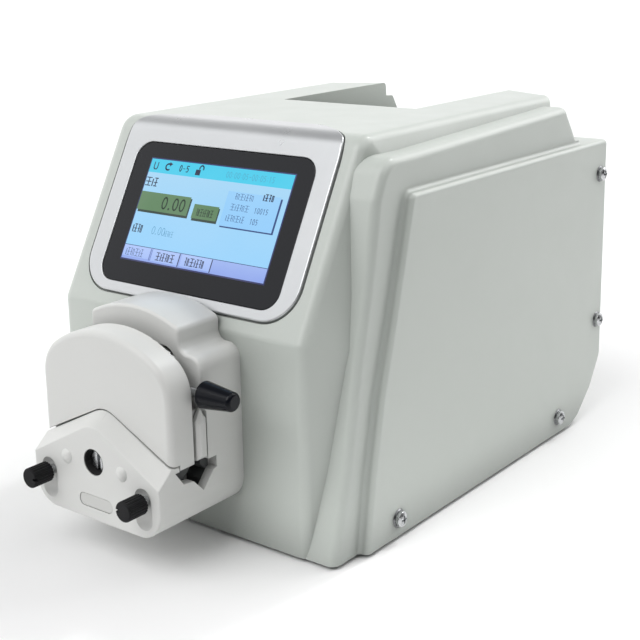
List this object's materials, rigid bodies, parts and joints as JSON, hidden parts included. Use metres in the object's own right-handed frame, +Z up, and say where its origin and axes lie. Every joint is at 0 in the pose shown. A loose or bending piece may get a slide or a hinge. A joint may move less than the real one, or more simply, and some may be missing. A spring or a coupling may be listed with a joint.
{
  "type": "peristaltic pump",
  "caption": "Bench-top peristaltic pump: moulded drive housing with sloping touch screen, easy-load roller head with swing lever and screw-set tube clamps on its front.",
  "frame": {"origin": "middle of the footprint, on the surface the rubber feet stand on; depth counted over everything from the clamp knobs to the rear sockets", "axes": "+Z up; -Y towards the user (pump head and screen); +X to the user's right, the side the lever points to at rest"},
  "size_m": [0.2074, 0.3388, 0.1963],
  "materials": {
    "shell_plastic": "fine-textured off-white moulded plastic, slightly greenish grey",
    "head_plastic": "white engineering plastic, satin",
    "bezel_silver": "satin silver paint on plastic",
    "screen_glass": "black back-printed cover glass",
    "display": "lit colour display",
    "steel": "stainless steel",
    "sheet_steel": "zinc-plated sheet",
    "panel_paint": "powder-coated sheet",
    "rubber": "soft black rubber",
    "black_plastic": "black moulded plastic",
    "black_gloss": "glossy black plastic",
    "pcb": "green circuit board",
    "aluminium": "machined aluminium",
    "motor_black": "black enamelled laminations",
    "brass": "brass",
    "roller_steel": "ground stainless steel",
    "clear_glass": "glass tube",
    "label_grey": "blank label",
    "bush_polymer": "bearing polymer",
    "clamp_grey": "dark grey glass-filled plastic"
  },
  "bodies": {
    "drive_unit": {"base_plate": "sheet_steel", "board_spacers": "brass", "boss_caps": "head_plastic", "cam_bush": "bush_polymer", "chassis_bracket_left": "sheet_steel", "chassis_bracket_right": "sheet_steel", "clamp_seats": "clamp_grey", "control_socket": "steel", "controller_board": "pcb", "display_board": "pcb", "drive_motor": "motor_black", "drive_screws": "steel", "earth_stud": "brass", "fan_frame": "black_plastic", "fan_grille": "steel", "foot_screws": "steel", "front_bearing": "steel", "guide_pins": "roller_steel", "head_frame": "head_plastic", "housing_shell": "shell_plastic", "label_plate": "label_grey", "lcd_display": "display", "mains_inlet": "black_plastic", "motor_bracket": "sheet_steel", "power_supply": "aluminium", "power_switch_frame": "black_plastic", "rear_bearing": "steel", "rear_panel": "panel_paint", "rear_panel_screws": "steel", "rubber_feet": "rubber", "screen_bezel": "bezel_silver", "side_guides": "head_plastic", "side_screw_washers": "steel", "side_screws": "steel", "socket_jackscrews": "steel", "touch_glass": "screen_glass"},
    "rotor": {"rotor_shaft": "steel", "rotor_front_plate": "aluminium", "rotor_rear_plate": "aluminium", "rotor_spacer": "aluminium", "roller_pins": "steel", "motor_shaft": "steel"},
    "roller_1": {"roller_1": "roller_steel"},
    "roller_2": {"roller_2": "roller_steel"},
    "roller_3": {"roller_3": "roller_steel"},
    "upper_block": {"upper_block": "head_plastic", "cam_follower": "steel"},
    "lever": {"cam_shaft": "steel", "lever_rod": "roller_steel", "lever_knob": "black_gloss"},
    "knob_left": {"clamp_knob_left": "black_plastic", "clamp_screw_left": "steel"},
    "knob_right": {"clamp_knob_right": "black_plastic", "clamp_screw_right": "steel"},
    "clamp_left": {"tube_clamp_left": "clamp_grey"},
    "clamp_right": {"tube_clamp_right": "clamp_grey"},
    "power_rocker": {"power_rocker": "black_gloss"},
    "fuse_drawer": {"fuse_drawer": "black_plastic", "glass_fuse": "clear_glass"},
    "fan_impeller": {"fan_impeller": "black_plastic"}
  },
  "joints": [
    {"name": "rotor_spin", "type": "hinge", "parent": "drive_unit", "child": "rotor", "pos_m": [0, -0.12845, 0.051], "axis": [0, 1, 0], "continuous": true},
    {"name": "roller_1_spin", "type": "hinge", "parent": "rotor", "child": "roller_1", "pos_m": [0, -0.12845, 0.0645], "axis": [0, 1, 0], "continuous": true},
    {"name": "roller_2_spin", "type": "hinge", "parent": "rotor", "child": "roller_2", "pos_m": [-0.01169, -0.12845, 0.04425], "axis": [0, 1, 0], "continuous": true},
    {"name": "roller_3_spin", "type": "hinge", "parent": "rotor", "child": "roller_3", "pos_m": [0.01169, -0.12845, 0.04425], "axis": [0, 1, 0], "continuous": true},
    {"name": "lever_swing", "type": "hinge", "parent": "drive_unit", "child": "lever", "pos_m": [0, -0.13045, 0.086], "axis": [0, -1, 0], "range_deg": [0, 180]},
    {"name": "block_lift", "type": "slide", "parent": "drive_unit", "child": "upper_block", "axis": [0, 0, 1], "range_m": [0, 0.006]},
    {"name": "left_clamp_turn", "type": "hinge", "parent": "drive_unit", "child": "knob_left", "pos_m": [-0.0316, -0.16045, 0.0394], "axis": [0, 1, 0], "range_deg": [0, 1260]},
    {"name": "left_clamp_slide", "type": "slide", "parent": "drive_unit", "child": "clamp_left", "axis": [0, 1, 0], "range_m": [0, 0.0028]},
    {"name": "right_clamp_turn", "type": "hinge", "parent": "drive_unit", "child": "knob_right", "pos_m": [0.0316, -0.16045, 0.0394], "axis": [0, 1, 0], "range_deg": [0, 1260]},
    {"name": "right_clamp_slide", "type": "slide", "parent": "drive_unit", "child": "clamp_right", "axis": [0, 1, 0], "range_m": [0, 0.0028]},
    {"name": "power_switch", "type": "hinge", "parent": "drive_unit", "child": "power_rocker", "pos_m": [-0.047, 0.16285, 0.124], "axis": [0, 0, -1], "range_deg": [0, 14]},
    {"name": "fuse_drawer_slide", "type": "slide", "parent": "drive_unit", "child": "fuse_drawer", "axis": [0, 1, 0], "range_m": [0, 0.018]},
    {"name": "fan_spin", "type": "hinge", "parent": "drive_unit", "child": "fan_impeller", "pos_m": [0.042, 0.15445, 0.11], "axis": [0, 1, 0], "continuous": true}
  ],
  "couplings": [
    {"joint": "lever_swing", "follows": "block_lift", "rad_per_m": 523.6},
    {"joint": "left_clamp_turn", "follows": "left_clamp_slide", "rad_per_m": 7854},
    {"joint": "right_clamp_turn", "follows": "right_clamp_slide", "rad_per_m": 7854}
  ]
}
